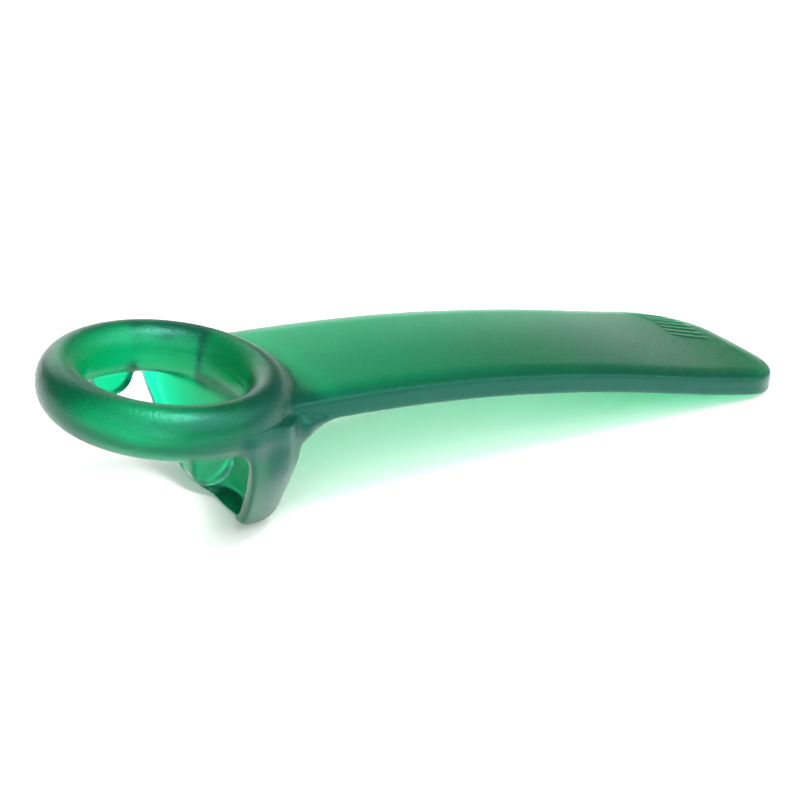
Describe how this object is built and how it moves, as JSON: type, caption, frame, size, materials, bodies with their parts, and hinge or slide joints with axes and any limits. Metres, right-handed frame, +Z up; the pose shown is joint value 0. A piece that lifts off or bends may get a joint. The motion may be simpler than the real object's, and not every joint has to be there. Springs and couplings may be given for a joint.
{
  "type": "jar lid lifter",
  "caption": "One-piece frosted green plastic lever with a finger ring, a scoop claw with a lip and a long curved handle, for lifting the edge of a jar lid.",
  "frame": {"origin": "on the surface it stands on, under the middle of its length and width", "axes": "+Z up, +X from the ring to the handle's tip, Y = 0 is the plane of symmetry of ring, claw and handle"},
  "size_m": [0.16, 0.0458, 0.0367],
  "materials": {
    "body": "frosted translucent, fine grain"
  },
  "bodies": {
    "root": {"grip_ring": "body", "lever_handle": "body", "claw_back_wall": "body", "claw_cheek_left": "body", "claw_cheek_right": "body", "hook_lip": "body", "root_gusset": "body", "fulcrum_pad_left": "body", "fulcrum_pad_right": "body", "grip_ribs": "body"}
  },
  "joints": []
}
